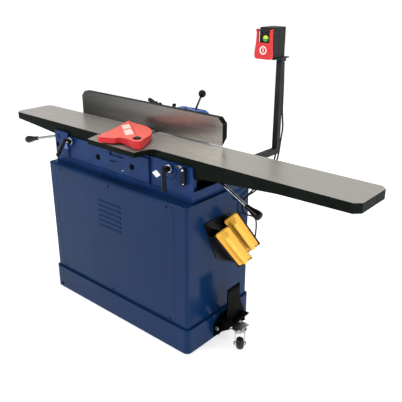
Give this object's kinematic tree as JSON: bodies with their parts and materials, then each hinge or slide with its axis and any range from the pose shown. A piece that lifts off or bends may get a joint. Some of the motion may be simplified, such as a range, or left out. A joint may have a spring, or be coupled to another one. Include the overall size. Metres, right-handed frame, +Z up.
{
  "type": "jointer",
  "caption": "Floor standing parallelogram jointer: cabinet, lifting tables, tilting fence, swinging guard, lever controls, switch post, push blocks and a pedal caster.",
  "frame": {"origin": "centre of the plinth's underside", "axes": "+X along the beds to the infeed end, +Y to the fence, +Z up"},
  "size_m": [1.9592, 0.609, 1.318],
  "materials": {
    "cabinet_paint": "semi-gloss enamel",
    "casting_paint": "semi-gloss enamel",
    "ground_iron": "ground top, dark cast sides",
    "machined_steel": "machined",
    "chrome": "polished plating",
    "zinc": "bright zinc plating",
    "black_steel": "black powder coat",
    "black_plastic": "moulded, slightly textured",
    "rubber": "matt",
    "guard_red": "smooth red",
    "button_green": "smooth green",
    "block_yellow": "moulded yellow"
  },
  "bodies": {
    "machine": {"plinth": "cabinet_paint", "cabinet_shell": "cabinet_paint", "front_panel": "cabinet_paint", "rear_panel": "cabinet_paint", "foot_front_left": "rubber", "foot_front_right": "rubber", "foot_back_left": "rubber", "foot_back_right": "rubber", "dust_chute": "black_steel", "mains_gland": "black_plastic", "main_casting": "casting_paint", "bearing_front": "casting_paint", "bearing_rear": "casting_paint", "drive_belt": "rubber", "motor": "black_steel", "motor_stand": "black_steel", "belt_cover": "black_steel", "fence_base": "casting_paint", "switch_arm": "black_steel", "switch_post": "black_steel", "switch_box": "black_plastic", "switch_cable": "rubber", "motor_cable": "rubber", "block_holder": "black_plastic", "pedal_bracket": "black_steel"},
    "cutterhead": {"cutterhead": "machined_steel", "head_pulley": "machined_steel"},
    "motor_drive": {"motor_pulley": "machined_steel"},
    "infeed_inner_link": {"infeed_link_inner": "machined_steel"},
    "infeed_outer_link": {"infeed_link_outer": "machined_steel", "infeed_lever": "chrome", "infeed_grip": "black_plastic"},
    "infeed_bed": {"infeed_table": "ground_iron"},
    "outfeed_inner_link": {"outfeed_link_inner": "machined_steel"},
    "outfeed_outer_link": {"outfeed_link_outer": "machined_steel", "outfeed_lever": "chrome", "outfeed_grip": "black_plastic"},
    "outfeed_bed": {"outfeed_table": "ground_iron"},
    "infeed_lock": {"infeed_lock_lever": "black_plastic"},
    "outfeed_lock": {"outfeed_lock_lever": "black_plastic"},
    "depth_stop": {"depth_stop_lever": "black_plastic"},
    "fence_slide_body": {"fence_carriage": "casting_paint"},
    "fence_body": {"fence": "ground_iron", "fence_bracket": "casting_paint"},
    "tilt_lock": {"tilt_lock_handle": "black_plastic"},
    "stop_pin": {"stop_knob": "black_plastic"},
    "slide_lock": {"slide_lock_rod": "chrome", "slide_lock_ball": "black_plastic"},
    "guard": {"cutter_guard": "guard_red", "guard_knob": "black_plastic"},
    "paddle": {"stop_paddle": "guard_red"},
    "button": {"start_button": "button_green"},
    "pedal": {"foot_pedal": "black_steel", "caster_plate": "zinc"},
    "caster_swivel_body": {"caster_fork": "zinc"},
    "caster_wheel_body": {"caster_wheel": "rubber"},
    "rear_wheel_front_body": {"rear_wheel_front": "rubber"},
    "rear_wheel_back_body": {"rear_wheel_back": "rubber"},
    "push_block_1_body": {"push_block_1": "block_yellow"},
    "push_block_2_body": {"push_block_2": "block_yellow"}
  },
  "joints": [
    {"name": "cutterhead_spin", "type": "hinge", "parent": "machine", "child": "cutterhead", "pos_m": [0, 0, 0.812], "axis": [0, 1, 0], "continuous": true},
    {"name": "motor_spin", "type": "hinge", "parent": "machine", "child": "motor_drive", "pos_m": [0.04, 0.106, 0.24], "axis": [0, 1, 0], "continuous": true},
    {"name": "infeed_lift", "type": "hinge", "parent": "machine", "child": "infeed_outer_link", "pos_m": [0.395, 0, 0.746], "axis": [0, 1, 0], "range_deg": [-9, 5.3]},
    {"name": "infeed_inner_swing", "type": "hinge", "parent": "machine", "child": "infeed_inner_link", "pos_m": [0.13, 0, 0.746], "axis": [0, 1, 0], "range_deg": [-9, 5.3]},
    {"name": "infeed_bed_swing", "type": "hinge", "parent": "infeed_outer_link", "child": "infeed_bed", "pos_m": [0.363, 0, 0.746], "axis": [0, 1, 0], "range_deg": [-5.3, 9]},
    {"name": "outfeed_lift", "type": "hinge", "parent": "machine", "child": "outfeed_outer_link", "pos_m": [-0.395, 0, 0.79], "axis": [0, 1, 0], "range_deg": [-0.9, 7.2]},
    {"name": "outfeed_inner_swing", "type": "hinge", "parent": "machine", "child": "outfeed_inner_link", "pos_m": [-0.13, 0, 0.79], "axis": [0, 1, 0], "range_deg": [-0.9, 7.2]},
    {"name": "outfeed_bed_swing", "type": "hinge", "parent": "outfeed_outer_link", "child": "outfeed_bed", "pos_m": [-0.363, 0, 0.79], "axis": [0, 1, 0], "range_deg": [-7.2, 0.9]},
    {"name": "infeed_lock_turn", "type": "hinge", "parent": "machine", "child": "infeed_lock", "pos_m": [0.309, -0.17, 0.79], "axis": [0, 1, 0], "range_deg": [-50, 40]},
    {"name": "outfeed_lock_turn", "type": "hinge", "parent": "machine", "child": "outfeed_lock", "pos_m": [-0.327, -0.17, 0.782], "axis": [0, 1, 0], "range_deg": [-40, 40]},
    {"name": "depth_stop_turn", "type": "hinge", "parent": "machine", "child": "depth_stop", "pos_m": [0.395, -0.165, 0.804], "axis": [0, 1, 0], "range_deg": [-35, 35]},
    {"name": "fence_slide", "type": "slide", "parent": "machine", "child": "fence_slide_body", "axis": [0, 1, 0], "range_m": [-0.048, 0.012]},
    {"name": "fence_tilt", "type": "hinge", "parent": "fence_slide_body", "child": "fence_body", "pos_m": [0, 0.059, 0.851], "axis": [1, 0, 0], "range_deg": [-45, 45]},
    {"name": "tilt_lock_turn", "type": "hinge", "parent": "fence_slide_body", "child": "tilt_lock", "pos_m": [-0.062, 0.17, 0.936], "axis": [0, 1, 0], "range_deg": [-15, 75]},
    {"name": "stop_pin_pull", "type": "slide", "parent": "fence_slide_body", "child": "stop_pin", "axis": [0, 0, 1], "range_m": [0, 0.006], "stiffness_N_per_m": 200, "springref_m": -0.002},
    {"name": "slide_lock_turn", "type": "hinge", "parent": "fence_slide_body", "child": "slide_lock", "pos_m": [0.118, 0.209, 0.92], "axis": [0, 1, 0], "range_deg": [-22, 14]},
    {"name": "guard_swing", "type": "hinge", "parent": "infeed_bed", "child": "guard", "pos_m": [0.155, -0.179, 0.87], "axis": [0, 0, 1], "range_deg": [0, 80], "stiffness_Nm_per_rad": 0.8, "springref_deg": -11.46},
    {"name": "paddle_swing", "type": "hinge", "parent": "machine", "child": "paddle", "pos_m": [0.4635, 0.244, 1.297], "axis": [1, 0, 0], "range_deg": [-75, 1]},
    {"name": "start_press", "type": "slide", "parent": "machine", "child": "button", "axis": [0, 1, 0], "range_m": [0, 0.003], "stiffness_N_per_m": 300, "springref_m": -0.001},
    {"name": "pedal_press", "type": "hinge", "parent": "machine", "child": "pedal", "pos_m": [0.482, 0, 0.062], "axis": [0, 1, 0], "range_deg": [0, 14]},
    {"name": "caster_swivel", "type": "hinge", "parent": "pedal", "child": "caster_swivel_body", "pos_m": [0.585, -0.02, 0.09], "axis": [0, 0, 1], "continuous": true},
    {"name": "caster_roll", "type": "hinge", "parent": "caster_swivel_body", "child": "caster_wheel_body", "pos_m": [0.5955, -0.03207, 0.03], "axis": [0.7547, 0.6561, 0], "continuous": true},
    {"name": "rear_wheel_front_roll", "type": "hinge", "parent": "machine", "child": "rear_wheel_front_body", "pos_m": [-0.42, -0.19, 0.016], "axis": [0, 1, 0], "continuous": true},
    {"name": "rear_wheel_back_roll", "type": "hinge", "parent": "machine", "child": "rear_wheel_back_body", "pos_m": [-0.42, 0.19, 0.016], "axis": [0, 1, 0], "continuous": true},
    {"name": "push_block_1_lift", "type": "slide", "parent": "machine", "child": "push_block_1_body", "axis": [1, 0, 0], "range_m": [0, 0.1]},
    {"name": "push_block_2_lift", "type": "slide", "parent": "machine", "child": "push_block_2_body", "axis": [1, 0, 0], "range_m": [0, 0.1]}
  ],
  "couplings": [
    {"joint": "motor_spin", "follows": "cutterhead_spin", "ratio": 0.65},
    {"joint": "infeed_inner_swing", "follows": "infeed_lift", "ratio": 1},
    {"joint": "infeed_bed_swing", "follows": "infeed_lift", "ratio": -1},
    {"joint": "outfeed_inner_swing", "follows": "outfeed_lift", "ratio": 1},
    {"joint": "outfeed_bed_swing", "follows": "outfeed_lift", "ratio": -1}
  ]
}
